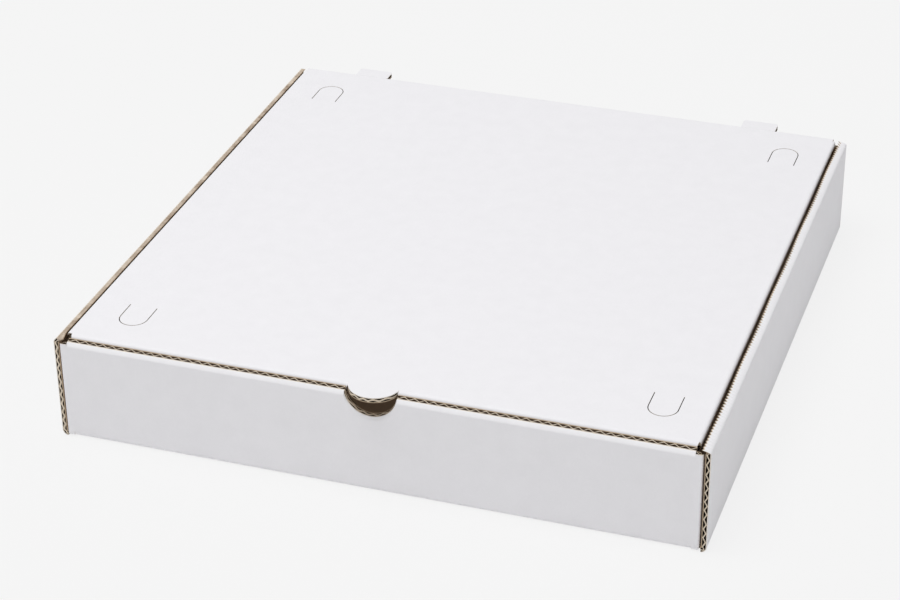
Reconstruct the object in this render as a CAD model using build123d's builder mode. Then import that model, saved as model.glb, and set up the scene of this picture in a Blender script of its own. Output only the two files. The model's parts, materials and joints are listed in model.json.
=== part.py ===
"""A closed pizza box, folded from one sheet of thin fluted board, in millimetres.

The tray stands on z = 0 with its front wall towards -Y and its middle on the Z axis.
The lid turns about the fold along the top of the back wall.
"""

import os
from math import cos, radians, tan

from build123d import *

# Board
board = 1.7                  # thickness over both liners
fold_radius = 2.0            # outside of the folds along the tray's bottom
margin = 1.0                 # how far a cutting shape runs past what it cuts

# Flutes between the board's two liners, which show at the cut edges
flute_pitch = 3.2            # from one wave to the next
liner = 0.25                 # each of the two flat sheets
medium = 0.25                # the waved sheet between them
flute_open = 2.0             # how far in from a cut edge the flutes are open

# Tray, measured outside
width = 210.0                # across the side walls
depth = 210.0                # front wall to back wall
side_height = 36.0           # top of the side walls
front_drop = 1.4             # top of the front wall, below the side walls
side_short = 1.5             # back wall's face to the side walls' back ends
crush_height = 1.3           # a side wall's cut top edge is crushed over this height
crush_depth = 1.7            # its outer liner is pressed in by this at the top
crush_lean = 0.9             # its inner liner is pushed in by this at the top

# Corner flaps, folded back from the ends of the front and back walls and glued to the side walls
corner_gap = 0.3             # folded end of a wall to the side wall
corner_fold_radius = 0.8     # outside of the folds at the ends of the walls
corner_flap_length = 30.0
corner_flap_top = 26.0       # height of the flap's top edge
corner_flap_slope = 6.0      # run of the sloping stretch behind the fold
relief_width = 2.4           # notch at the top of the fold
relief_depth = 0.6

# Thumb notch in the front wall and half-moon tab on the lid
thumb_notch_radius = 8.1
thumb_notch_drop = 0.7       # middle of the notch's round, below the lid's top
thumb_tab_radius = 8.9
thumb_tab_reach = 3.0        # past the front wall's face
finger_hole_radius = 8.8     # in the lid's front flap, behind the notch
finger_hole_drop = 2.0       # middle of its round end, below the lid's top

# Lid
lid_side_gap = 1.0           # to the side walls
lid_front_gap = 0.7          # to the front wall
lid_fold_radius = 1.2        # outside of the lid's folds
lid_corner_notch = 1.6       # end of the front fold to the lid's side
lid_side_start = 1.3         # lid's front edge to the start of its side folds
front_flap_fall = 25.0
front_flap_lean = 5.0        # degrees inwards from upright
front_flap_taper = 6.0
side_flap_fall = 22.0
side_flap_lean = 15.0
side_flap_taper = 20.0
flap_corner_radius = 5.0
fold_strip = 8.0             # flat strip of the lid that is drawn with each flap

# U-shaped knife cuts near the lid's corners
slit_width = 0.3
slit_radius = 4.6
slit_leg = 7.6               # straight part of the U
slit_side = 19.0             # tray's side to the middle of the U
slit_front = 14.0            # tray's front to the round of the U
slit_back = 13.0             # tray's back to the round of the U

# Hinge along the back, with the two tabs that were cut out of the back wall
hinge_gap = 0.3              # lid's rounded back edge to the back wall
rear_tab_spacing = 148.6     # between the tabs' middles
rear_tab_width = 12.5
rear_tab_reach = 5.8         # behind the back wall's face
rear_tab_gap = 0.5           # to the sides and foot of its vent
rear_tab_corner = 1.0

# Heights and places that follow from these sizes
front_top = side_height - front_drop
lid_top = side_height            # level with the side walls
axis_y = depth / 2 - board / 2
axis_z = lid_top - board / 2
back_top = axis_z - board / 2 - hinge_gap
end_half = width / 2 - board - corner_gap
lid_half = width / 2 - board - lid_side_gap
lid_front = -depth / 2 + board + lid_front_gap
front_flap_half = lid_half - lid_corner_notch
side_fold_front = lid_front + lid_side_start
side_fold_back = axis_y - lid_side_start
vent_foot = axis_z - board / 2 - rear_tab_reach - rear_tab_gap
crush_start = side_height - crush_height


def end_wall(top):
    """Front wall with its bottom fold and its two corner flaps, up to the given height."""
    front = -depth / 2
    flap_end = front + corner_flap_length
    with BuildPart() as wall:
        # The wall and its flaps are one strip, folded at both ends
        with BuildSketch(Plane.XY.offset(fold_radius)) as plan:
            with BuildLine():
                Polyline(
                    (-end_half, flap_end),
                    (-end_half, front),
                    (end_half, front),
                    (end_half, flap_end),
                    (end_half - board, flap_end),
                    (end_half - board, front + board),
                    (-end_half + board, front + board),
                    (-end_half + board, flap_end),
                    close=True,
                )
            make_face()
            rows = plan.vertices().group_by(Axis.Y)
            fillet(rows[0], radius=corner_fold_radius)
            fillet(rows[1], radius=fold_radius - board)
        extrude(amount=top - fold_radius)
        # Fold to the bottom panel
        with BuildSketch(Plane.YZ) as fold:
            with BuildLine():
                Polyline(
                    (front, 2 * fold_radius),
                    (front, 0),
                    (front + 2 * fold_radius, 0),
                    (front + 2 * fold_radius, board),
                    (front + board, board),
                    (front + board, 2 * fold_radius),
                    close=True,
                )
            make_face()
            corner = fold.vertices().sort_by_distance((front, 0))[0]
            fillet(corner, radius=fold_radius)
            corner = fold.vertices().sort_by_distance((front + board, board))[0]
            fillet(corner, radius=fold_radius - board)
        extrude(amount=end_half - fold_radius / 2, both=True)
        # Sloping top edge of the corner flaps
        with BuildSketch(Plane.YZ):
            with BuildLine():
                Polyline(
                    (front + fold_radius, top + margin),
                    (front + fold_radius, top - relief_depth),
                    (front + fold_radius + corner_flap_slope, corner_flap_top),
                    (flap_end + margin, corner_flap_top),
                    (flap_end + margin, top + margin),
                    close=True,
                )
            make_face()
        extrude(amount=width / 2, both=True, mode=Mode.SUBTRACT)
        # Relief notches at the top of the end folds
        with BuildSketch(Plane.XZ.offset(-front - fold_radius - margin)) as reliefs:
            with Locations((-end_half, top), (end_half, top)):
                Rectangle(2 * relief_width, 2 * relief_depth)
            fillet(reliefs.vertices().group_by(Axis.Y)[0], radius=relief_depth / 2)
        extrude(amount=fold_radius + 2 * margin, mode=Mode.SUBTRACT)
    return wall.part


def flute_cells(length):
    """Open flutes along a cut edge: triangles that stand on one liner and the other in turn."""
    pairs = int((length / flute_pitch - 1) / 2)
    foot = liner - board / 2
    peak = board / 2 - liner - medium
    half = flute_pitch / 2 - medium
    with BuildSketch() as cells:
        with GridLocations(flute_pitch, 1, 2 * pairs + 1, 1):
            Polygon((-half, foot), (half, foot), (0, peak))
        with GridLocations(flute_pitch, 1, 2 * pairs, 1):
            Polygon((half, -foot), (-half, -foot), (0, -peak))
    return cells.sketch


def flap_section(fall, lean):
    """Outline points of a lid edge: a flat strip, a fold at (0, 0) and a flap that leans inwards."""
    slope = tan(radians(lean))
    across = board / cos(radians(lean))
    return [
        (-fold_strip, 0),
        (0, 0),
        (-fall * slope, -fall),
        (-fall * slope - across, -fall),
        (-board * slope - across, -board),
        (-fold_strip, -board),
    ]


# Flutes that open into the thumb notch
with BuildPart() as notch_flutes:
    with BuildSketch(Plane.XY.offset(front_top)):
        with Locations((0, board / 2 - depth / 2)):
            add(flute_cells(2 * (thumb_notch_radius + flute_open)))
    extrude(amount=-thumb_notch_radius - thumb_notch_drop - flute_open)
    with BuildSketch(Plane.XZ.offset(depth / 2 - board - margin)):
        with Locations((0, lid_top - thumb_notch_drop)):
            Circle(thumb_notch_radius + flute_open)
    extrude(amount=board + 2 * margin, mode=Mode.INTERSECT)

# Front wall with the thumb notch and the flutes of its cut top edge
with BuildPart() as front_wall:
    add(end_wall(front_top))
    with BuildSketch(Plane.XY.offset(front_top)):
        with Locations((0, board / 2 - depth / 2)):
            add(flute_cells(2 * (end_half - relief_width)))
    extrude(amount=-flute_open, mode=Mode.SUBTRACT)
    add(notch_flutes.part, mode=Mode.SUBTRACT)
    with BuildSketch(Plane.XZ.offset(depth / 2 - board - margin)):
        with Locations((0, lid_top - thumb_notch_drop)):
            Circle(thumb_notch_radius)
    extrude(amount=board + 2 * margin, mode=Mode.SUBTRACT)

# Back wall, turned round, with the two vents that the rear tabs left
with BuildPart() as back_wall:
    add(end_wall(back_top))
    vent_width = rear_tab_width + 2 * rear_tab_gap
    vent_height = back_top - vent_foot + margin
    with BuildSketch(Plane.XZ.offset(depth / 2 - board - margin)) as vents:
        with GridLocations(rear_tab_spacing, 1, 2, 1):
            with Locations((0, vent_foot + vent_height / 2)):
                Rectangle(vent_width, vent_height)
        fillet(vents.vertices().group_by(Axis.Y)[0], radius=rear_tab_corner)
    extrude(amount=board + 2 * margin, mode=Mode.SUBTRACT)

# Tray: bottom and side walls are one trough along the depth, with crushed top edges
with BuildPart() as tray:
    with BuildSketch(Plane.XZ.offset(depth / 2)) as trough:
        with BuildLine():
            Polyline(
                (0, 0),
                (width / 2, 0),
                (width / 2, crush_start),
                (width / 2 - crush_depth, side_height),
                (width / 2 - board - crush_lean, side_height),
                (width / 2 - board, crush_start),
                (width / 2 - board, board),
                (0, board),
            )
            mirror(about=Plane.YZ)
        make_face()
        rows = trough.vertices().group_by(Axis.Y)
        under = rows[0].sort_by(Axis.X)
        upper = rows[1].sort_by(Axis.X)
        fillet([under[0], under[-1]], radius=fold_radius)
        fillet([upper[0], upper[-1]], radius=fold_radius - board)
    extrude(amount=side_short - depth)
    # The bottom stops short at the front and back, where the end walls' folds take over
    with BuildSketch(Plane.XY):
        with GridLocations(1, depth, 1, 2):
            Rectangle(width - 2 * fold_radius, 3 * fold_radius)
    extrude(amount=board, mode=Mode.SUBTRACT)
    # Flutes that show at the front and back ends of the side walls
    end_middle = (fold_radius + crush_start) / 2
    ends = [
        Plane((0, -depth / 2, end_middle), x_dir=(0, 0, 1), z_dir=(0, -1, 0)),
        Plane((0, depth / 2 - side_short, end_middle), x_dir=(0, 0, 1), z_dir=(0, 1, 0)),
    ]
    with BuildSketch(*ends):
        with GridLocations(1, width - board, 1, 2):
            add(flute_cells(crush_start - fold_radius))
    extrude(amount=-flute_open, mode=Mode.SUBTRACT)
    add(front_wall.part)
    add(back_wall.part.rotate(Axis.Z, 180))

# Lid's front flap, with the finger hole behind the thumb notch
with BuildPart() as front_flap:
    with BuildSketch(Plane((0, lid_front, lid_top), x_dir=(0, -1, 0), z_dir=(-1, 0, 0))) as edge:
        with BuildLine():
            Polyline(*flap_section(front_flap_fall, front_flap_lean), close=True)
        make_face()
        fillet(edge.vertices().sort_by_distance((0, 0))[0], radius=lid_fold_radius)
    extrude(amount=front_flap_half, both=True)
    with BuildSketch(Plane.XZ) as shape:
        with BuildLine():
            Polyline(
                (-front_flap_half, lid_top),
                (-front_flap_half, lid_top - board),
                (-front_flap_half + front_flap_taper, lid_top - front_flap_fall),
                (front_flap_half - front_flap_taper, lid_top - front_flap_fall),
                (front_flap_half, lid_top - board),
                (front_flap_half, lid_top),
                close=True,
            )
        make_face()
        fillet(shape.vertices().group_by(Axis.Y)[0], radius=flap_corner_radius)
        with Locations((0, lid_top)):
            Rectangle(2 * finger_hole_radius, 2 * finger_hole_drop, mode=Mode.SUBTRACT)
        with Locations((0, lid_top - finger_hole_drop)):
            Circle(finger_hole_radius, mode=Mode.SUBTRACT)
    extrude(amount=depth, both=True, mode=Mode.INTERSECT)

# Lid's right side flap
with BuildPart() as side_flap:
    with BuildSketch(Plane((lid_half, 0, lid_top), x_dir=(1, 0, 0), z_dir=(0, -1, 0))) as edge:
        with BuildLine():
            Polyline(*flap_section(side_flap_fall, side_flap_lean), close=True)
        make_face()
        fillet(edge.vertices().sort_by_distance((0, 0))[0], radius=lid_fold_radius)
    extrude(amount=depth / 2, both=True)
    with BuildSketch(Plane.YZ) as shape:
        with BuildLine():
            Polyline(
                (side_fold_front, lid_top),
                (side_fold_front, lid_top - board),
                (side_fold_front + side_flap_taper, lid_top - side_flap_fall),
                (side_fold_back - side_flap_taper, lid_top - side_flap_fall),
                (side_fold_back, lid_top - board),
                (side_fold_back, lid_top),
                close=True,
            )
        make_face()
        fillet(shape.vertices().group_by(Axis.Y)[0], radius=flap_corner_radius)
    extrude(amount=width, both=True, mode=Mode.INTERSECT)

# One U-shaped knife cut, with its round towards +Y
with BuildSketch() as slit:
    with BuildLine():
        leg = Line((-slit_radius, -slit_leg), (-slit_radius, 0))
        bow = TangentArc(leg @ 1, (slit_radius, 0), tangent=leg % 1)
        Line(bow @ 1, (slit_radius, -slit_leg))
    trace(line_width=slit_width)

# Flutes that show along the thumb tab's curved edge
thumb_tab_middle = thumb_tab_radius - thumb_tab_reach - depth / 2
with BuildPart() as tab_flutes:
    with BuildSketch(Plane.XZ.offset(thumb_tab_radius - thumb_tab_middle)):
        with Locations((0, axis_z)):
            add(flute_cells(2 * thumb_tab_radius))
    extrude(amount=-thumb_tab_radius)
    with BuildSketch(Plane.XY.offset(lid_top - board)):
        with Locations((0, thumb_tab_middle + flute_open)):
            Circle(thumb_tab_radius)
    extrude(amount=board, mode=Mode.SUBTRACT)

# Lid: flat panel with its flaps, thumb tab, rounded hinge edge and rear tabs
with BuildPart() as lid:
    panel_half = lid_half - lid_fold_radius
    panel_front = lid_front + lid_fold_radius + lid_side_start
    with BuildSketch(Plane.XY.offset(lid_top - board)):
        with BuildLine():
            Polyline(
                (-panel_half, panel_front),
                (panel_half, panel_front),
                (panel_half, axis_y),
                (-panel_half, axis_y),
                close=True,
            )
        make_face()
        with Locations((0, thumb_tab_middle)):
            Circle(thumb_tab_radius)
    extrude(amount=board)
    add(tab_flutes.part, mode=Mode.SUBTRACT)
    with BuildSketch(Plane.XY.offset(lid_top - board)) as tabs:
        with GridLocations(rear_tab_spacing, 1, 2, 1):
            with Locations((0, axis_y)):
                Rectangle(rear_tab_width, board + 2 * rear_tab_reach)
        fillet(tabs.vertices().group_by(Axis.Y)[-1], radius=rear_tab_corner)
    extrude(amount=board)
    with BuildSketch(Plane.XZ.offset(-axis_y - board / 2 - rear_tab_reach)):
        with GridLocations(rear_tab_spacing, 1, 2, 1):
            with Locations((0, axis_z)):
                add(flute_cells(rear_tab_width - 2 * rear_tab_corner))
    extrude(amount=flute_open, mode=Mode.SUBTRACT)
    with BuildSketch(Plane.XY.offset(lid_top)):
        with GridLocations(width - 2 * slit_side, 1, 2, 1):
            with Locations((0, depth / 2 - slit_back - slit_radius)):
                add(slit.sketch)
            with Locations((0, slit_front + slit_radius - depth / 2)):
                add(slit.sketch, rotation=180)
    extrude(amount=-board, mode=Mode.SUBTRACT)
    with BuildSketch(Plane.YZ):
        with Locations((axis_y, axis_z)):
            Circle(board / 2)
    extrude(amount=panel_half, both=True)
    add(front_flap.part)
    add(side_flap.part)
    mirror(side_flap.part, about=Plane.YZ)

os.makedirs("parts", exist_ok=True)
tray.part.label = "tray"
lid.part.label = "lid"
export_step(tray.part, "parts/tray.step")
export_step(lid.part, "parts/lid.step")
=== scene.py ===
"""Looks of a closed pizza box, folded from one sheet of white-lined fluted board, in metres."""

import json
from collections import namedtuple
from math import cos, pi, radians, sin, tan

import bpy
import numpy as np
from mathutils import Matrix, Vector


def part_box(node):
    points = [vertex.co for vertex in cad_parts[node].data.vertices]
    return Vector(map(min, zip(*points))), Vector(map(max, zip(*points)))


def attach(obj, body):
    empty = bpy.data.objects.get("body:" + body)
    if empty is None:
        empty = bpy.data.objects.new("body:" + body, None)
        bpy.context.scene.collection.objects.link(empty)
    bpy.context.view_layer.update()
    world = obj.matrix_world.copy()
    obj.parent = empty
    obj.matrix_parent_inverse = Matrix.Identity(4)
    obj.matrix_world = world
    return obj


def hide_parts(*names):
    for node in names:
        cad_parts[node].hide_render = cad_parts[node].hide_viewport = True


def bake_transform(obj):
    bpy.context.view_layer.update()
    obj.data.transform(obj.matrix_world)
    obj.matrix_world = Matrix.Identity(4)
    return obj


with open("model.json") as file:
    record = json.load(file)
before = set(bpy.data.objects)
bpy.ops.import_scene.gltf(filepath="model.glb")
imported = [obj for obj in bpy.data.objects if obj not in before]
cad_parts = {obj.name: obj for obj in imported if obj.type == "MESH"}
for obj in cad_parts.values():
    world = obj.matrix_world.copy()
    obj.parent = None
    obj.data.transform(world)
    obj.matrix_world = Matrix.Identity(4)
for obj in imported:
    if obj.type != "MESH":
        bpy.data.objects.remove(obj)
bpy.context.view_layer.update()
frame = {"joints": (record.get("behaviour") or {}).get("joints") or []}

# Bottom panel and side walls
# The middle of the die-cut sheet: a bottom panel with a side wall folded up along each side.
# The flutes run from front to back, so their waves show at the front and back ends of the walls.
mm = 0.001
sides = (-1, 1)              # left and right
tray_low, tray_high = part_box("tray")
width = tray_high.x - tray_low.x
depth = tray_high.y - tray_low.y
height = tray_high.z
board = 1.7 * mm
fold_radius = 2.0 * mm       # outside of the folds along the bottom panel
flute_pitch = 3.2 * mm       # from one wave of the fluting to the next
wave_points = 10             # points drawn along one wave
rim_height = 1.3 * mm        # top strip of a side wall, which the cutting knife has crushed
side_short = 1.5 * mm        # back wall's face to the side walls' back ends
end_crumple = {-1: 0.4, 1: 0.2}   # of the fluting: the knife has crumpled the left wall's ends more

Panel = namedtuple("Panel", "face inward thickness across crumple torn")


def vectors(x, y, z):
    """Points or directions from their three coordinates, which are spread to one common grid."""
    return np.stack(np.broadcast_arrays(x, y, z), axis=-1)


def folded_path(s, start, heading, side, runs):
    """Points and inward directions at the path lengths s on the outer face of a folded strip.

    The strip is straight runs, each (length, turn, radius), with a fold at its end. Every run moves
    the point along its heading by the part of s that lies on it, and its fold then swings the point
    round an arc of that radius. The inward direction is the heading turned a quarter to the given side.
    """
    s = np.asarray(s, float)
    point = np.zeros(s.shape + (2,)) + np.array(start)
    angle = np.full(s.shape, float(heading))
    ahead = heading
    done = 0.0
    for length, turn, radius in runs:
        straight = np.clip(s - done, 0, length)
        point += straight[..., None] * np.array([cos(ahead), sin(ahead)])
        done += length
        swing = side * np.clip((s - done) / radius, 0, turn) if turn else 0 * s
        point += side * radius * np.stack(
            [np.sin(ahead + swing) - sin(ahead), cos(ahead) - np.cos(ahead + swing)], axis=-1)
        angle += swing
        ahead += side * turn
        done += radius * turn
    return point, side * np.stack([-np.sin(angle), np.cos(angle)], axis=-1)


def lay_panel(face, inward, across, crush=0.0, lean=0.0, crumple=0.0, torn=False):
    """A panel of board: outer face and inward direction grids, and the distance across its flutes.

    The crush is how far the outer face is pressed inwards. The lean is how far the inner face goes
    inwards, or outwards where it is negative. What is left between them is the board's thickness.
    The crumple is 1 where the fluting is pressed into a solid mass, and 0 where its waves are whole.
    A torn panel has frayed edges instead of cleanly cut ones.
    """
    shape = np.zeros(face.shape[:2])
    return Panel(face + inward * (shape + crush)[..., None], inward, shape + board - crush + lean,
                 shape + across, shape + crumple, torn)


wall_run = height - rim_height - fold_radius
bottom_run = width - 2 * fold_radius
fold_run = fold_radius * pi / 2
trough_run = bottom_run + 2 * (fold_run + wall_run)
trough_s = np.linspace(0, trough_run, int(trough_run / flute_pitch * wave_points))
trough_xz, trough_inward = folded_path(
    trough_s, (-width / 2, height - rim_height), -pi / 2, 1,
    [(wall_run, pi / 2, fold_radius), (bottom_run, pi / 2, fold_radius), (wall_run, 0, 0)])
on_bottom = np.abs(trough_s - trough_run / 2) < bottom_run / 2
side_back = depth / 2 - side_short
trough_y = np.where(on_bottom[:, None], [fold_radius - depth / 2, depth / 2 - fold_radius],
                    [-depth / 2, side_back])
trough_face = vectors(trough_xz[:, :1], trough_y, trough_xz[:, 1:])
trough_in = vectors(trough_inward[:, :1], 0 * trough_y, trough_inward[:, 1:])
trough_crumple = np.where(trough_xz[:, :1] < 0, end_crumple[-1], end_crumple[1])
tray_panels = [lay_panel(trough_face, trough_in, (trough_s - trough_run / 2)[:, None],
                         crumple=trough_crumple)]

# Crushed rims of the side walls
# The toothed knife that cuts the blank presses the board together along the side walls' top edges:
# the outer liner slopes inwards, the inner liner is pushed in and the edge is left ragged.
rim_crush = {-1: 0.9 * mm, 1: 2.45 * mm}    # how far in the outer liner's edge is
rim_bend = {-1: 1.2, 1: 2.8}                # above 1 the slope is rounded towards its top
rim_board = {-1: 1.75 * mm, 1: 0.55 * mm}   # thickness of the board at the edge
lip_board = {-1: 0.9 * mm, 1: 0}            # more of it at the glued front corner
lip_run = 3.7 * mm           # length of that lip
tooth_pitch = 1.6 * mm
tooth_height = 0.45 * mm
tooth_share = {-1: 0.3, 1: 0.35}            # of the crush, which comes and goes with the teeth
tooth_swing = 0.25           # share of the teeth that slowly grows and shrinks
slow_wave = 7.1 * mm         # run over which that turns by one radian
rim_rows = 9
tooth_points = 6             # points drawn along one tooth


def triangle_wave(turns):
    """A wave that falls from 1 to 0 and rises again in each turn, in straight lines."""
    return np.abs(2 * (turns % 1) - 1)


rim_y = np.linspace(-depth / 2, side_back, int(depth / tooth_pitch * tooth_points) + 1)
rim_share = np.linspace(0, 1, rim_rows)[:, None]
ragged = triangle_wave(rim_y / tooth_pitch) * (1 - tooth_swing + tooth_swing * np.sin(rim_y / slow_wave))
rim_z = height - rim_height + rim_share * (rim_height - tooth_height * ragged)
for side in sides:
    rim_face = vectors(side * width / 2, rim_y, rim_z)
    rim_in = vectors(-side, 0, 0 * rim_z)
    rim_across = side * (trough_run / 2 + rim_share * rim_height)
    press = rim_crush[side] * rim_share ** rim_bend[side] * (1 - tooth_share[side] * ragged)
    lip = lip_board[side] * np.clip(1 - (rim_y + depth / 2) / lip_run, 0, 1)
    lean = press + (rim_board[side] - board + lip) * rim_share
    tray_panels.append(lay_panel(rim_face, rim_in, rim_across, press, lean, rim_share, torn=True))

# Front and back walls
# Folded up from the bottom panel, with their flutes upright. The front wall has the half-round thumb
# notch in its knife-cut top edge, and the back wall the two vents that the lid's rear tabs left.
lid_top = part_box("lid")[1].z
front_drop = 1.4 * mm        # lid's top to the front wall's top edge
front_top = lid_top - front_drop
corner_gap = {-1: 0.1 * mm, 1: 0.6 * mm}   # ends of the walls to the left and right side walls
relief_width = 2.4 * mm      # notch at the top of the corner folds
relief_depth = 0.5 * mm
relief_round = 0.3 * mm
wall_half = {side: width / 2 - board - corner_gap[side] - relief_width for side in sides}
notch_radius = 8.5 * mm
notch_drop = 0.3 * mm        # middle of the notch's round, below the lid's top
edge_crush = 0.95 * mm       # the knife slopes the front wall's outer liner in by this
edge_bend = 1.2              # above 1 that slope is rounded towards its top
edge_crush_height = 1.2 * mm
edge_rows = np.array([1.3, 1, 0.75, 0.5, 0.25, 0])   # rows of points, in crushed heights below the edge
edge_lean = 0.75 * mm        # and the knife pushes the inner liner in by this
notch_crush = 0.3 * mm       # outer liner at the notch
notch_crumple = 0.4          # share of the fluting that the knife has crumpled there
cut_slant = 0.45             # rise of the cut edge towards the inside, for each unit of thickness
axis_y, axis_z = frame["joints"][0]["pos_m"][1:]
hinge_gap = 0.3 * mm
back_top = axis_z - board / 2 - hinge_gap
rear_tab_x = {-1: -76.2 * mm, 1: 72.4 * mm}   # middles of the rear tabs, which sit a little to the left
rear_tab_half = 6.25 * mm
rear_tab_reach = 5.8 * mm
rear_tab_gap = 0.5 * mm
vent_half = rear_tab_half + rear_tab_gap
vent_foot = axis_z - board / 2 - rear_tab_reach - rear_tab_gap
hair = 0.001 * mm            # the width over which a cut edge steps
fold_points = 6              # points round a fold of the bottom panel, or round a relief notch
round_points = 41            # points round the thumb notch, and round the lid's thumb tab


def wave_steps(low, high, *extra):
    """Places across the flutes from low to high, wave_points to a wave, and the extra places."""
    steps = np.linspace(low, high, max(2, int((high - low) / flute_pitch * wave_points)))
    return np.unique(np.concatenate([steps, *[np.atleast_1d(e) for e in extra]]))


def end_wall(x, top, crush, lean, crumple, slant, facing):
    """A wall along x from the bottom fold up to the height top at each x, facing -1 front or 1 back.

    The rows follow the fold's arc and then the wall. Towards its top edge the outer face is pressed in
    by the crush, the inner face by the lean, the fluting is crumpled and the cut rises inwards by the
    slant, all of them by the share of the crushed height that is done, and the crush by a power of it.
    """
    fold_rows = np.linspace(0, fold_run, fold_points)[None, :] + 0 * x[:, None]
    wall_top = fold_run + top - fold_radius
    wall_rows = wall_top[:, None] - edge_crush_height * edge_rows
    s = np.concatenate([fold_rows, wall_rows], axis=1)
    yz, inward = folded_path(s, (fold_radius - depth / 2, 0), pi, -1,
                             [(0, pi / 2, fold_radius), (height, 0, 0)])
    share = np.clip(1 - (wall_top[:, None] - s) / edge_crush_height, 0, 1)
    x_grid = x[:, None] + 0 * s
    face = vectors(x_grid, -facing * yz[..., 0], yz[..., 1])
    into = vectors(0, -facing * inward[..., 0], inward[..., 1])
    press = crush * share ** edge_bend
    panel = lay_panel(face, into, x_grid, press, lean * share, crumple * share)
    return panel._replace(inward=into + vectors(0, 0, slant * share))


notch_x = notch_radius * np.sin(np.linspace(-pi / 2, pi / 2, round_points))
front_x = wave_steps(-wall_half[-1], wall_half[1], notch_x)
notch_edge = lid_top - notch_drop - np.sqrt(np.clip(notch_radius ** 2 - front_x ** 2, 0, None))
front_edge = np.where(np.abs(front_x) <= notch_radius, np.minimum(front_top, notch_edge), front_top)
at_notch = (front_edge < front_top)[:, None]
front_crush = np.where(at_notch, notch_crush, edge_crush)
front_push = np.where(at_notch, 0, edge_lean)
front_crumple = np.where(at_notch, notch_crumple, 0)
tray_panels.append(end_wall(front_x, front_edge, front_crush, front_push, front_crumple, cut_slant, -1))

vent_x = np.array([rear_tab_x[-1], rear_tab_x[1]])
vent_sides = np.concatenate([vent_x - vent_half, vent_x + vent_half])
back_x = wave_steps(-wall_half[-1], wall_half[1], vent_sides - hair, vent_sides + hair)
in_vent = np.any(np.abs(back_x[:, None] - vent_x) < vent_half, axis=1)
tray_panels.append(end_wall(back_x, np.where(in_vent, vent_foot, back_top), 0, 0, 0, 0, 1))

# Corner flaps
# The ends of the front and back walls fold back along the side walls and are glued there. A small
# relief notch at the top of each fold lets the board turn, and the flaps' top edges slope down.
flap_reach = 30 * mm         # outer face of the wall to the flap's end
flap_top = 26 * mm
flap_slope = 6 * mm
fold_foot = 0.7 * mm         # bottom edge of the fold, above the table
flap_foot = 1.9 * mm         # bottom edge of the flap, above the table
corner_radius = 0.6 * mm     # outside of the corner folds
corner_score = 1.0 * mm      # the scoring wheel has pressed the folds this much thinner, from inside
score_ramp = 0.6 * mm        # run over which the board comes back to its thickness
arc_points = 7               # points round a small fold or corner


def corner_flap(top, facing, side):
    """The fold at one end of a wall and the flap behind it, in rows from its foot up to its top edge.

    Along the path the top edge dips into the relief notch by a quarter round, runs level round the
    fold, falls in a straight line to the flap's height and stays there.
    """
    lead = relief_width - corner_radius
    flap_run = flap_reach - corner_radius
    turn_run = corner_radius * pi / 2
    turned = lead + turn_run
    s = wave_steps(0, turned + flap_run, np.linspace(0, relief_round, fold_points),
                   np.linspace(lead, turned, arc_points))
    xy, inward = folded_path(s, (wall_half[side], -depth / 2), 0, 1,
                             [(lead, pi / 2, corner_radius), (flap_run, 0, 0)])
    dip = np.clip(1 - s / relief_round, 0, 1)
    notch = top - relief_depth + relief_round * (1 - np.sqrt(1 - dip ** 2))
    behind = s - lead - turn_run
    edge = np.interp(behind, [0, flap_slope], [top - relief_depth, flap_top])
    edge = np.where(behind > 0, edge, notch)
    foot = np.interp(behind, [-turn_run / 2, 0], [fold_foot, flap_foot])
    thin = np.interp(s, [lead - score_ramp, lead, turned, turned + score_ramp], [0, 1, 1, 0])[:, None]
    z = foot[:, None] + (edge - foot)[:, None] * np.array([0.0, 1.0])
    face = vectors(side * xy[:, :1], -facing * xy[:, 1:], z)
    into = vectors(side * inward[:, :1], -facing * inward[:, 1:], 0 * z)
    across = side * (wall_half[side] + s)[:, None]
    return lay_panel(face, into, across, 0, -corner_score * thin, thin)


for side in sides:
    tray_panels.append(corner_flap(front_top, -1, side))
    tray_panels.append(corner_flap(back_top, 1, side))

# Lid's top panel with its tabs
# The panel's flutes run from front to back. The half-moon tab at the front stays flat where the front
# flap is folded down, and the two tabs at the back were cut out of the back wall. Near the corners
# are four U-shaped knife cuts, whose tongues can be pushed in.
lid_fold_radius = 1.6 * mm           # of the front fold
side_fold_radius = {-1: 0.6 * mm, 1: 1.05 * mm}   # the right fold is rounder than the left one
side_score = {-1: 1.1 * mm, 1: 0.7 * mm}          # the side folds are pressed this much thinner
score = 0.6 * mm                     # the front fold is pressed this much thinner
lid_side_gap = {-1: 1.0 * mm, 1: 1.9 * mm}        # to the side walls
lid_front_gap = 0.7 * mm             # to the front wall
lid_half = {side: width / 2 - board - lid_side_gap[side] for side in sides}
lid_front = board + lid_front_gap - depth / 2
front_lean = radians(5)              # the folded flaps lean inwards by this
side_lean = radians(15)
front_fold_in = lid_fold_radius * tan((pi / 2 + front_lean) / 2)
fold_line_y = lid_front + front_fold_in
panel_half = {side: lid_half[side] - side_fold_radius[side] * tan((pi / 2 + side_lean) / 2)
              for side in sides}
flap_short = 0.9 * mm                # the front flap stops this far from the lid's corners
flap_half = lid_half[1] - flap_short
side_short_back = 1.3 * mm           # the side folds stop this far from the hinge
thumb_tab_radius = 8.3 * mm
thumb_tab_reach = 3.0 * mm           # ahead of the front wall
thumb_tab_y = thumb_tab_radius - thumb_tab_reach - depth / 2
panel_back = axis_y
rear_tab_end = depth / 2 + rear_tab_reach
rear_tab_corner = 1.0 * mm
tab_sink = 0.25 * mm                 # the tabs lie a little lower than the lid, behind the hinge's score
tab_sink_run = 1.2 * mm
slit_width = 0.3 * mm
slit_radius = 4.6 * mm
slit_leg = 7.6 * mm                  # straight part of the U
slit_from_side = 19.0 * mm           # box's side to the middle of the U
slit_from_front = 14.0 * mm          # box's front to the round of the U
slit_from_back = 13.0 * mm
slit_x = width / 2 - slit_from_side
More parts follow.
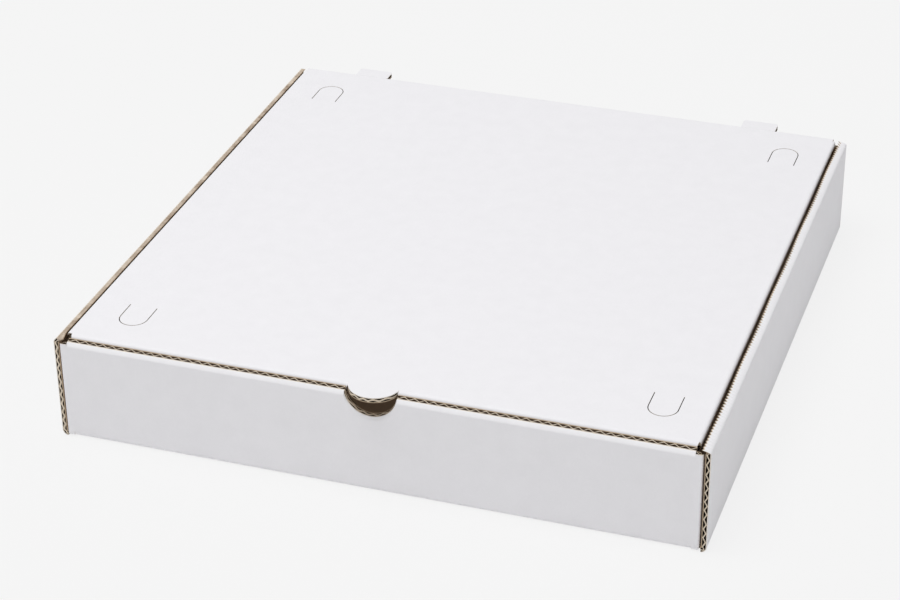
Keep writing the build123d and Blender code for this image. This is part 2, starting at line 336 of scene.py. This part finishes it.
slit_front = slit_from_front + slit_radius - depth / 2
slit_back = depth / 2 - slit_from_back - slit_radius
slit_points = 33                     # points round the U


def flat_panel(x, front, back, crumple=0.0):
    """A stretch of the lid's level top whose front and back edges are given at each x.

    The crumple is that of the fluting along the front edge.
    """
    y = np.stack(np.broadcast_arrays(front + 0 * x, back + 0 * x), axis=1)
    crumple = np.stack(np.broadcast_arrays(crumple + 0 * x, 0), axis=1)
    return lay_panel(vectors(x[:, None], y, lid_top), vectors(0, 0 * y, -1), x[:, None], crumple=crumple)


tab_reach = fold_line_y - thumb_tab_y
tab_half = np.sqrt(thumb_tab_radius ** 2 - tab_reach ** 2)
tab_turn = np.arcsin(tab_half / thumb_tab_radius)
tab_x = thumb_tab_radius * np.sin(np.linspace(-1, 1, round_points) * tab_turn)
slit_outer = slit_radius + slit_width / 2
slit_inner = slit_radius - slit_width / 2
middle_x = wave_steps(slit_outer - slit_x, slit_x - slit_outer, tab_x)
tab_edge = thumb_tab_y - np.sqrt(np.clip(thumb_tab_radius ** 2 - middle_x ** 2, 0, None))
middle_front = np.where(np.abs(middle_x) <= tab_half, np.minimum(tab_edge, fold_line_y), fold_line_y)
middle_crumple = notch_crumple * (middle_front < fold_line_y)
lid_panels = [flat_panel(middle_x, middle_front, panel_back, middle_crumple)]

# From each U's middle: how far its outer and inner banks reach towards the round, at each place across
bow = np.sin(np.linspace(-pi / 2, pi / 2, slit_points))
bank_steps = np.array([-slit_inner - hair, -slit_inner + hair, slit_inner - hair, slit_inner + hair])
slit_across = wave_steps(-slit_outer, slit_outer, slit_outer * bow, slit_inner * bow, bank_steps)
outer_bank = np.sqrt(np.clip(slit_outer ** 2 - slit_across ** 2, 0, None))
inner_bank = np.sqrt(np.clip(slit_inner ** 2 - slit_across ** 2, 0, None))
inner_bank = np.where(np.abs(slit_across) < slit_inner, inner_bank, -slit_leg)

# A rear tab: the rounded corners of its end, and its root, which sinks by a half wave of a cosine
corner = rear_tab_half - rear_tab_corner * (1 - np.sin(np.linspace(0, pi / 2, arc_points)))
rear_x = wave_steps(-rear_tab_half, rear_tab_half, corner, -corner)
past = np.clip((np.abs(rear_x) - rear_tab_half) / rear_tab_corner + 1, 0, 1)
rear_end = rear_tab_end - rear_tab_corner * (1 - np.sqrt(1 - past ** 2))
tab_root = panel_back + tab_sink_run * np.linspace(0, 1, arc_points)
rear_y = np.concatenate([tab_root + 0 * rear_x[:, None], rear_end[:, None]], axis=1)
rear_z = lid_top - tab_sink / 2 * (1 - np.cos(pi * np.clip((rear_y - panel_back) / tab_sink_run, 0, 1)))
for side in sides:
    margin_x = wave_steps(slit_x + slit_outer, panel_half[side])
    band_x = side * slit_x + slit_across
    lid_panels.append(flat_panel(band_x, fold_line_y, slit_front - outer_bank))
    lid_panels.append(flat_panel(band_x, slit_front - inner_bank, slit_back + inner_bank))
    lid_panels.append(flat_panel(band_x, slit_back + outer_bank, panel_back))
    lid_panels.append(flat_panel(side * margin_x, fold_line_y, panel_back))
    rear_across = rear_tab_x[side] + rear_x[:, None]
    rear_face = vectors(rear_across, rear_y, rear_z)
    lid_panels.append(lay_panel(rear_face, vectors(0, 0 * rear_y, -1), rear_across))

# Lid's front flap
# Folded down behind the front wall when the box is closed, with the hole that the half-moon tab left.
front_fall = 25 * mm
front_taper = 6 * mm
flap_corner = 5 * mm
finger_half = 8.8 * mm       # of the hole, with straight sides and a round end
finger_drop = 2.0 * mm       # straight part of its sides
tab_side = 7.95 * mm         # half of the hole where the tab's cut crosses the fold
hole_points = 31             # points round the hole's end
hole_rows = 9                # rows from there down to the flap's edge
front_fold_run = lid_fold_radius * (pi / 2 + front_lean)
front_run = front_fold_run + (front_fall - lid_fold_radius) / cos(front_lean)
corner_turn = np.linspace(0, pi / 2, arc_points)
corner_s = front_run - flap_corner * (1 - np.sin(corner_turn))
front_fold_s = np.linspace(0, front_fold_run, arc_points)
front_s = np.concatenate([front_fold_s, [front_fold_run + score_ramp], corner_s])


def flap_sheet(x, s):
    """The front flap at the places x and path lengths s: flat off the panel, round the fold and down."""
    yz, inward = folded_path(s, (fold_line_y, lid_top), pi, 1,
                             [(0, pi / 2 + front_lean, lid_fold_radius), (front_fall, 0, 0)])
    face = vectors(x, yz[..., 0], yz[..., 1])
    into = vectors(0 * x, inward[..., 0], inward[..., 1])
    thin = np.interp(s, [front_fold_run, front_fold_run + score_ramp], [1, 0])
    return lay_panel(face, into, x, 0, -score * thin, thin)


corner_in = flap_corner * (1 - np.sqrt(1 - np.clip((front_s - corner_s[0]) / flap_corner, 0, 1) ** 2))
front_side = flap_half - front_taper * front_s / front_run - corner_in
front_share = np.linspace(0, 1, int((flap_half - finger_half) / flute_pitch * wave_points))
hole_side = np.interp(front_s, [front_fold_run / 2, front_fold_run + score_ramp], [tab_side, finger_half])
beside_x = hole_side + front_share[:, None] * (front_side - hole_side)
for side in sides:
    lid_panels.append(flap_sheet(side * beside_x, front_s + 0 * beside_x))
hole_round = finger_half * np.sin(np.linspace(-pi / 2, pi / 2, hole_points))
hole_x = wave_steps(-finger_half, finger_half, hole_round)
hole_fall = finger_drop + np.sqrt(np.clip(finger_half ** 2 - hole_x ** 2, 0, None))
hole_s = np.interp(hole_fall, [0, lid_fold_radius, front_fall], [0, front_fold_run, front_run])
below_s = hole_s[:, None] + (front_run - hole_s)[:, None] * np.linspace(0, 1, hole_rows)
lid_panels.append(flap_sheet(hole_x[:, None] + 0 * below_s, below_s))

# Lid's side flaps
# Folded down inside the side walls, leaning inwards, with slanted ends.
side_fall = 22 * mm
side_taper = 20 * mm
side_fold_points = 9         # points round a side fold
side_end = axis_y - side_short_back
for side in sides:
    side_fold_run = side_fold_radius[side] * (pi / 2 + side_lean)
    side_run = side_fold_run + (side_fall - side_fold_radius[side]) / cos(side_lean)
    side_s = wave_steps(0, side_run, np.linspace(0, side_fold_run, side_fold_points),
                        side_fold_run + score_ramp)
    side_thin = np.interp(side_s, [side_fold_run, side_fold_run + score_ramp], [1, 0])[:, None]
    side_xz, side_inward = folded_path(side_s, (panel_half[side], lid_top), 0, -1,
                                       [(0, pi / 2 + side_lean, side_fold_radius[side]), (side_fall, 0, 0)])
    side_past = np.clip((side_s - side_run) / flap_corner + 1, 0, 1)
    side_round = flap_corner * (1 - np.sqrt(1 - side_past ** 2))
    side_inset = side_taper * np.clip((side_s - side_fold_run) / side_fall, 0, 1) + side_round
    side_y = np.stack([fold_line_y + side_inset, side_end - side_inset], axis=1)
    side_face = vectors(side * side_xz[:, :1], side_y, side_xz[:, 1:])
    side_in = vectors(side * side_inward[:, :1], 0 * side_y, side_inward[:, 1:])
    side_across = side * (panel_half[side] + side_s)[:, None]
    lid_panels.append(lay_panel(side_face, side_in, side_across, 0, -side_score[side] * side_thin, side_thin))

# Hinge fold
# The scored fold that joins the lid to the top of the back wall, between the rear tabs. The score has pressed
# the board thin there, and the strip is drawn bent as it is with the lid closed.
hinge_board = 0.6 * mm       # board left between the score's banks
crease_points = 9            # points round the fold
crease_radius = depth / 2 - panel_back
crease_rise = lid_top - crease_radius - back_top
crease_run = crease_rise + crease_radius * pi / 2
crease_s = np.concatenate([[0], np.linspace(crease_rise, crease_run, crease_points)])
crease_yz, crease_inward = folded_path(crease_s, (depth / 2, back_top), pi / 2, 1,
                                       [(crease_rise, pi / 2, crease_radius)])
crease_panels = []
for low, high in ((-panel_half[-1], rear_tab_x[-1] - vent_half),
                  (rear_tab_x[-1] + vent_half, rear_tab_x[1] - vent_half),
                  (rear_tab_x[1] + vent_half, panel_half[1])):
    crease_x = wave_steps(low, high)[:, None] + 0 * crease_s
    crease_face = vectors(crease_x, crease_yz[:, 0], crease_yz[:, 1])
    crease_in = vectors(0 * crease_x, crease_inward[:, 0], crease_inward[:, 1])
    crease_panels.append(lay_panel(crease_face, crease_in, crease_x, 0, hinge_board - board, 1))

# White outer liner
# The outside of the box: bleached paper with a smooth clay coating, glued to the fluting. It is matt,
# and the flutes behind it show as very faint ribs.
liner = 0.26 * mm                   # thickness of the outer liner, and of the inner one
cloud_detail = 3.0                  # octaves of the noise in the mottling
fibre_detail = 4.0                  # and in the fibres
fibre_fineness = 0.65               # weight of the finer octaves there
fibre_stretch = (1.0, 0.35, 0.6)    # scale of the fibres' noise: they are drawn out along the flutes
mottle_span = (0.3, 0.7)            # noise values that become the dark and the light colour
rib_share = 0.35                    # height of the ribs, in heights of the fibres
bump_strength = 0.5
paper_ior = 1.5
paper_gloss = 0.3
sharp_angle = radians(35)           # edges that turn by more than this stay sharp


def linear(hex_colour):
    """Linear red, green, blue and alpha of an sRGB hex value."""
    srgb = np.array([int(hex_colour[i:i + 2], 16) for i in (1, 3, 5)]) / 255
    return (*np.where(srgb <= 0.04045, srgb / 12.92, ((srgb + 0.055) / 1.055) ** 2.4), 1.0)


def add_node(material, kind, inputs=None, **settings):
    """Adds one shader node with its settings, and sets or links its inputs by name or number."""
    tree = material.node_tree
    node = tree.nodes.new(kind)
    for name, value in settings.items():
        setattr(node, name, value)
    for key, value in (inputs or {}).items():
        if isinstance(value, bpy.types.NodeSocket):
            tree.links.new(value, node.inputs[key])
        else:
            node.inputs[key].default_value = value
    return node


def paper(name, light, dark, roughness, mottle_size, fibre_size, fibre_share, bump):
    """A matt paper: cloudy mottling and fine fibres between two colours, and a bump from the fibres.

    The fibres are noise drawn out along one direction, and the flutes give a faint sine ribbing.
    """
    material = bpy.data.materials.new(name)
    material.use_nodes = True
    material.node_tree.nodes.clear()
    place = add_node(material, "ShaderNodeTexCoord").outputs["Object"]
    cloud = add_node(material, "ShaderNodeTexNoise",
                     {"Vector": place, "Scale": 1 / mottle_size, "Detail": cloud_detail})
    drawn = add_node(material, "ShaderNodeMapping", {"Vector": place, "Scale": fibre_stretch})
    fibre = add_node(material, "ShaderNodeTexNoise",
                     {"Vector": drawn.outputs[0], "Scale": 1 / fibre_size, "Detail": fibre_detail,
                      "Roughness": fibre_fineness})
    share = add_node(material, "ShaderNodeMix",
                     {"Factor": fibre_share, "A": cloud.outputs["Fac"], "B": fibre.outputs["Fac"]})
    spread = add_node(material, "ShaderNodeMapRange",
                      {"Value": share.outputs["Result"], "From Min": mottle_span[0],
                       "From Max": mottle_span[1]})
    colour = add_node(material, "ShaderNodeMix",
                      {"Factor": spread.outputs["Result"], "A": linear(dark), "B": linear(light)},
                      data_type="RGBA")
    flute = add_node(material, "ShaderNodeAttribute", attribute_name="flute_turns")
    angle = add_node(material, "ShaderNodeMath", {0: flute.outputs["Fac"], 1: 2 * pi}, operation="MULTIPLY")
    rib = add_node(material, "ShaderNodeMath", {0: angle.outputs[0]}, operation="SINE")
    relief = add_node(material, "ShaderNodeMath", {0: rib.outputs[0], 1: rib_share, 2: fibre.outputs["Fac"]},
                      operation="MULTIPLY_ADD")
    rough = add_node(material, "ShaderNodeBump",
                     {"Height": relief.outputs[0], "Strength": bump_strength, "Distance": bump})
    shader = add_node(material, "ShaderNodeBsdfPrincipled",
                      {"Base Color": colour.outputs["Result"], "Roughness": roughness, "IOR": paper_ior,
                       "Specular IOR Level": paper_gloss, "Normal": rough.outputs[0]})
    add_node(material, "ShaderNodeOutputMaterial", {"Surface": shader.outputs[0]})
    return material


def closed_shell(upper, lower):
    """A closed sheet between two grids of the same shape: both faces and the rim all round.

    Returns its points, its four-cornered faces, turned so that the volume they enclose is positive,
    and the kind of each face: 0 for the first grid, 1 for the second one and 2 for the rim.
    """
    rows, columns = upper.shape[:2]
    count = rows * columns
    at = np.arange(count).reshape(rows, columns)
    top = np.stack([at[:-1, :-1], at[1:, :-1], at[1:, 1:], at[:-1, 1:]], axis=-1).reshape(-1, 4)
    loop = np.concatenate([at[0, :-1], at[:-1, -1], at[-1, :0:-1], at[:0:-1, 0]])
    following = np.roll(loop, -1)
    rim = np.stack([loop, following, following + count, loop + count], axis=-1)
    faces = np.concatenate([top, top[:, ::-1] + count, rim])
    points = np.concatenate([upper.reshape(-1, 3), lower.reshape(-1, 3)])
    first, second, third, fourth = np.moveaxis(points[faces], 1, 0)
    volume = np.sum(first * (np.cross(second, third) + np.cross(third, fourth)))
    if volume < 0:
        faces = faces[:, ::-1]
    return points, faces, np.repeat([0, 1, 2], [len(top), len(top), len(rim)])


def outer_depths(panel):
    """How deep below the board's outer face the white liner starts and ends."""
    return 0 * panel.thickness, 0 * panel.thickness + liner


def paper_shells(panels, depths):
    """Each panel's sheet of one paper, from the depths at which it starts and ends, with its flute turns."""
    for panel in panels:
        near, far = depths(panel)
        upper = panel.face + panel.inward * near[..., None]
        lower = panel.face + panel.inward * far[..., None]
        turns = np.tile(panel.across.reshape(-1) / flute_pitch, 2)
        points, faces, kind = closed_shell(upper, lower)
        yield points, faces, kind + (kind == 2) * panel.torn, turns


def paper_piece(name, sheets, materials):
    """A mesh object of one or more papers, each (shells, materials of its faces).

    The materials are those of the outside, the inside, the cut edges and the torn edges.
    """
    points, faces, slots, turns = [], [], [], []
    count = 0
    for shells, kind_slots in sheets:
        for shell_points, shell_faces, kind, shell_turns in shells:
            points.append(shell_points)
            faces.append(shell_faces + count)
            slots.append(np.array(kind_slots)[kind])
            turns.append(shell_turns)
            count += len(shell_points)
    mesh = bpy.data.meshes.new(name)
    mesh.from_pydata(np.concatenate(points), [], np.concatenate(faces))
    mesh.polygons.foreach_set("material_index", np.concatenate(slots).astype(np.int32))
    attribute = mesh.attributes.new("flute_turns", "FLOAT", "POINT")
    attribute.data.foreach_set("value", np.concatenate(turns).astype(np.float32))
    for material in materials:
        mesh.materials.append(material)
    mesh.shade_smooth()
    mesh.set_sharp_from_angle(angle=sharp_angle)
    mesh.update()
    piece = bpy.data.objects.new(name, mesh)
    bpy.context.scene.collection.objects.link(piece)
    return piece


# Bleached board: near-white and matt, with clouds a few millimetres wide that only just show.
white_liner = paper("clay_coated_white_paper", "#EFEEF1", "#EBEAED", 0.55, 6 * mm, 0.5 * mm, 0.45, 0.02 * mm)
# Its knife-cut edge is a little warmer, because the brown paper behind shows through.
white_edge = paper("cut_white_paper", "#EEE7DD", "#D8CDBF", 0.8, 0.8 * mm, 0.25 * mm, 0.5, 0.05 * mm)
# Only the outer ply is bleached: the side that is glued to the fluting is brown. Its colour here is painted
# far darker than the paper is, as painted shade of the deep flute cells.
painted_shade_brown = paper("brown_paper_painted_shade", "#483729", "#33261C", 0.9, 3 * mm, 0.4 * mm, 0.6, 0.04 * mm)
outer_papers = [white_liner, painted_shade_brown, white_edge]
outer_kinds = (0, 1, 2, 2)   # which of these papers shows outside, inside, at cut and at torn edges
tray_outer = paper_piece("tray_outer_liner", [(paper_shells(tray_panels, outer_depths), outer_kinds)],
                         outer_papers)
lid_outer = paper_piece("lid_outer_liner", [(paper_shells(lid_panels, outer_depths), outer_kinds)],
                        outer_papers)
for piece, body in ((tray_outer, "tray"), (lid_outer, "lid")):
    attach(piece, body)
    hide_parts(body)

# Fluting
# The waved middle paper, of recycled brown fibres, which was pressed between hot ribbed rollers and
# glued to both liners. It shows as a zigzag in every cut edge.
medium = 0.22 * mm           # thickness of the waved paper
least_room = 0.02 * mm       # left for it where the board is pressed flat
flank = 0.97                 # how straight the flanks of the waves are, up to 1
wave_drift = ((0.05, 6.7, 1.3), (0.03, 2.9, 0.0))   # size and length in waves, and start, of phase changes


def fluting_depths(panel):
    """The waved paper's two faces: a wave between the liners, with small slow changes of its phase.

    The wave is the arc sine of a sine times the flank, which rounds the crests of a zigzag. It is as
    high as the room between the liners allows, and where it is crumpled the paper fills that room.
    """
    turns = panel.across / flute_pitch
    drift = sum(size * np.sin(2 * pi * turns / length + start) for size, length, start in wave_drift)
    room = np.clip(panel.thickness - 2 * liner, least_room, None)
    sheet = np.minimum(medium, room) + panel.crumple * np.clip(room - medium, 0, None)
    wave = np.arcsin(flank * np.sin(2 * pi * (turns + drift))) / np.arcsin(flank)
    middle = panel.thickness / 2 + (room - sheet) / 2 * wave
    return middle - sheet / 2, middle + sheet / 2


# The same brown paper as the liners' glued sides, whose dark colour is painted shade of the flute cells. Cut
# fibres scatter light, so its cut edge is paler.
fluting_edge = paper("cut_brown_paper", "#E2D6C4", "#C4B39C", 0.9, 0.8 * mm, 0.25 * mm, 0.5, 0.05 * mm)
# Along the crushed rims the fibres are torn and stand out in all directions; the darker colour mixed into
# them is painted shadow between them.
torn_edge_painted_shade = paper("torn_brown_paper_painted_shade", "#DCCFBF", "#8E7A66", 0.9, 3.5 * mm, 0.3 * mm, 0.35, 0.08 * mm)
fluting_papers = [painted_shade_brown, fluting_edge, torn_edge_painted_shade]
fluting_kinds = (0, 0, 1, 2)
tray_fluting = paper_piece("tray_fluting", [(paper_shells(tray_panels, fluting_depths), fluting_kinds)],
                           fluting_papers)
lid_fluting = paper_piece("lid_fluting", [(paper_shells(lid_panels, fluting_depths), fluting_kinds)],
                          fluting_papers)

# Kraft inner liner
# The inside of the box: unbleached brown kraft paper, glued to the fluting's other side.


def inner_depths(panel):
    """How deep below the board's outer face the kraft liner starts and ends."""
    return panel.thickness - liner, panel.thickness


# Unbleached kraft: warm brown, with long fibres and a slightly cloudy tone.
kraft_liner = paper("kraft_paper", "#AF957A", "#A3886D", 0.75, 8 * mm, 0.6 * mm, 0.5, 0.03 * mm)
# Its cut edge is paler, as the fluting's is. Where the rims are torn it is patchier, and darker with painted
# shadow between the torn fibres.
kraft_edge = paper("cut_kraft_paper", "#C4B299", "#A38F78", 0.9, 0.8 * mm, 0.25 * mm, 0.5, 0.05 * mm)
torn_kraft_painted_shade = paper("torn_kraft_paper_painted_shade", "#B9A38B", "#6C5944", 0.9, 3.5 * mm, 0.3 * mm, 0.35, 0.08 * mm)
inner_papers = [painted_shade_brown, kraft_liner, kraft_edge, torn_kraft_painted_shade]
inner_kinds = (0, 1, 2, 3)
tray_inner = paper_piece("tray_inner_liner", [(paper_shells(tray_panels, inner_depths), inner_kinds)],
                         inner_papers)
lid_inner = paper_piece("lid_inner_liner", [(paper_shells(lid_panels, inner_depths), inner_kinds)],
                        inner_papers)
for piece, body in ((tray_fluting, "tray"), (tray_inner, "tray"), (lid_fluting, "lid"), (lid_inner, "lid")):
    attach(piece, body)
    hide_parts(body)

# Papers of the hinge fold
# The same three papers where they bend between the back wall and the lid.
hinge_papers = [white_liner, painted_shade_brown, white_edge, fluting_edge, kraft_liner, kraft_edge]
hinge_fold = paper_piece(
    "hinge_fold",
    [(paper_shells(crease_panels, outer_depths), (0, 1, 2)),
     (paper_shells(crease_panels, fluting_depths), (1, 1, 3)),
     (paper_shells(crease_panels, inner_depths), (1, 4, 5))],
    hinge_papers)
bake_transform(hinge_fold)

# Floor and light
# A pale seamless table under soft studio light: a large lamp above the front left, and an even sky.
pale = linear("#F5F5F5")
floor_half = 6.0
floor_glow = 0.9             # share of the table that glows at the background's tone
sky_strength = 0.49
lamp_size = 1.2
lamp_power = 20.5
lamp_place = (-0.36, -0.33, 1.8)
soak_size = 0.18
soak_power = 0.012
soak_drop = 2 * mm           # below the lid's board


def ray_kinds(owner, *kinds):
    """A value that is 1 for light paths of one of the given kinds, and 0 for all others."""
    path = add_node(owner, "ShaderNodeLightPath").outputs
    found = path[kinds[0]]
    for kind in kinds[1:]:
        found = add_node(owner, "ShaderNodeMath", {0: found, 1: path[kind]}, operation="MAXIMUM").outputs[0]
    return found


def add_lamp(name, size, power, location):
    """A square area lamp, which shines downwards until it is turned."""
    data = bpy.data.lights.new(name, "AREA")
    data.shape = "SQUARE"
    data.size = size
    data.energy = power
    lamp = bpy.data.objects.new(name, data)
    lamp.location = location
    bpy.context.scene.collection.objects.link(lamp)
    return lamp


floor_mesh = bpy.data.meshes.new("floor")
floor_mesh.from_pydata([(-floor_half, -floor_half, 0), (floor_half, -floor_half, 0),
                        (floor_half, floor_half, 0), (-floor_half, floor_half, 0)], [], [(0, 1, 2, 3)])
floor = bpy.data.objects.new("floor", floor_mesh)
bpy.context.scene.collection.objects.link(floor)
# Pale painted table: to the camera it glows at the background's tone, and a share of it takes shadow.
table = bpy.data.materials.new("pale_table")
table.use_nodes = True
table.node_tree.nodes.clear()
seen = ray_kinds(table, "Is Camera Ray", "Is Glossy Ray", "Is Transmission Ray")
glow_share = add_node(table, "ShaderNodeMath", {0: seen, 1: floor_glow}, operation="MULTIPLY")
matt = add_node(table, "ShaderNodeBsdfDiffuse", {"Color": pale})
glow = add_node(table, "ShaderNodeEmission", {"Color": pale, "Strength": 1.0})
mixed = add_node(table, "ShaderNodeMixShader",
                 {0: glow_share.outputs[0], 1: matt.outputs[0], 2: glow.outputs[0]})
add_node(table, "ShaderNodeOutputMaterial", {"Surface": mixed.outputs[0]})
floor_mesh.materials.append(table)

world = bpy.data.worlds.new("studio")
world.use_nodes = True
world.node_tree.nodes.clear()
bpy.context.scene.world = world
seen = ray_kinds(world, "Is Camera Ray", "Is Glossy Ray")
sky = add_node(world, "ShaderNodeBackground", {"Color": (1, 1, 1, 1), "Strength": sky_strength})
backdrop = add_node(world, "ShaderNodeBackground", {"Color": pale, "Strength": 1.0})
shown = add_node(world, "ShaderNodeMixShader", {0: seen, 1: sky.outputs[0], 2: backdrop.outputs[0]})
add_node(world, "ShaderNodeOutputWorld", {"Surface": shown.outputs[0]})

softbox = add_lamp("softbox", lamp_size, lamp_power, lamp_place)
softbox.rotation_euler = Vector(lamp_place).to_track_quat("Z", "Y").to_euler()

# A little daylight soaks through the board into the closed box. This faint lamp under the lid stands
# for it.
soak = add_lamp("light_through_board", soak_size, soak_power, (0, 0, lid_top - board - soak_drop))
soak.visible_camera = False

# Camera
# Where the photograph was taken from: about 30 degrees above the table, to the right of the front.
azimuth = radians(18.864)
elevation = radians(30.234)
roll = radians(-0.619)
distance = 858.985 * mm
target = np.array([-14.418, 12.965, 0]) * mm
focal_pixels = 2468.77
image_width = 900
sensor = 36.0

back = np.array([sin(azimuth) * cos(elevation), -cos(azimuth) * cos(elevation), sin(elevation)])
level = np.array([cos(azimuth), sin(azimuth), 0])
upright = np.cross(back, level)
right = level * cos(roll) + upright * sin(roll)
up = upright * cos(roll) - level * sin(roll)
camera_data = bpy.data.cameras.new("camera")
camera_data.sensor_fit = "HORIZONTAL"
camera_data.sensor_width = sensor
camera_data.lens = focal_pixels / image_width * sensor
camera = bpy.data.objects.new("camera", camera_data)
camera_place = Matrix(np.column_stack([right, up, back]).tolist()).to_4x4()
camera_place.translation = Vector(target + back * distance)
camera.matrix_world = camera_place
bpy.context.scene.collection.objects.link(camera)
bpy.context.scene.camera = camera
bpy.context.scene.view_settings.view_transform = "Standard"
